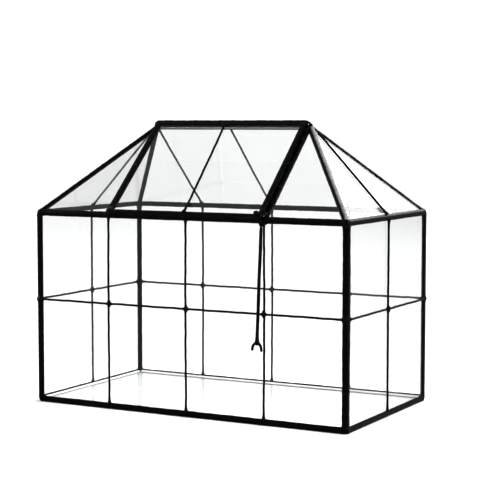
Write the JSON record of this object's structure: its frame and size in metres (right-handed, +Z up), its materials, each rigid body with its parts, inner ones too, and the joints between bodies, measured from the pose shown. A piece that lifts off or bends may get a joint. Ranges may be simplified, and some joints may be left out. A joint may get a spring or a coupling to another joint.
{
  "type": "glass cloche",
  "caption": "House-shaped glass cloche: clear panes in soldered black came, hinged front roof lid, ball knob and a forked prop rod hanging beside it.",
  "frame": {"origin": "middle of the case on the surface it stands on", "axes": "+X along the length, +Y from the lid side to the back, +Z up"},
  "size_m": [0.2554, 0.1478, 0.2071],
  "materials": {
    "glass": "clear polished sheet glass",
    "black_came": "glossy black over soldered came",
    "black_wire": "black lattice wire, soldered at the crossings",
    "black_rod": "smooth black rod"
  },
  "bodies": {
    "case": {"back_pane": "glass", "back_wire_left": "black_wire", "back_wire_middle": "black_wire", "back_wire_right": "black_wire", "base_rail_back": "black_came", "base_rail_front": "black_came", "base_rail_left": "black_came", "base_rail_right": "black_came", "belt_back": "black_wire", "belt_front": "black_wire", "belt_left": "black_wire", "belt_right": "black_wire", "eaves_rail_back": "black_came", "eaves_rail_front": "black_came", "eaves_rail_left": "black_came", "eaves_rail_right": "black_came", "floor_pane": "glass", "front_pane": "glass", "front_wire_left": "black_wire", "front_wire_middle": "black_wire", "front_wire_right": "black_wire", "hinge_pin": "black_wire", "hip_back_left": "black_came", "hip_back_right": "black_came", "hip_front_left": "black_came", "hip_front_right": "black_came", "jamb_left": "black_came", "jamb_right": "black_came", "left_pane": "glass", "left_wire": "black_wire", "post_back_left": "black_came", "post_back_right": "black_came", "post_front_left": "black_came", "post_front_right": "black_came", "prop_staple": "black_wire", "ridge_bar": "black_came", "right_pane": "glass", "right_wire": "black_wire", "roof_back_pane": "glass", "roof_front_left_pane": "glass", "roof_front_right_pane": "glass", "roof_left_pane": "glass", "roof_right_pane": "glass", "roof_wire_back_left": "black_wire", "roof_wire_back_middle": "black_wire", "roof_wire_back_right": "black_wire", "roof_wire_left": "black_wire", "roof_wire_right": "black_wire"},
    "lid": {"lid_bottom_rail": "black_came", "lid_hinge_rail": "black_came", "lid_knob": "black_rod", "lid_pane": "glass", "lid_stile_left": "black_came", "lid_stile_right": "black_came", "lid_wire": "black_wire"},
    "prop": {"prop_rod": "black_rod"}
  },
  "joints": [
    {"name": "lid_hinge", "type": "hinge", "parent": "case", "child": "lid", "pos_m": [0, -0.00202, 0.20511], "axis": [-1, 0, 0], "range_deg": [0, 200]},
    {"name": "prop_swing", "type": "hinge", "parent": "case", "child": "prop", "pos_m": [0.0628, -0.0734, 0.1372], "axis": [-1, 0, 0], "range_deg": [0, 165]}
  ]
}
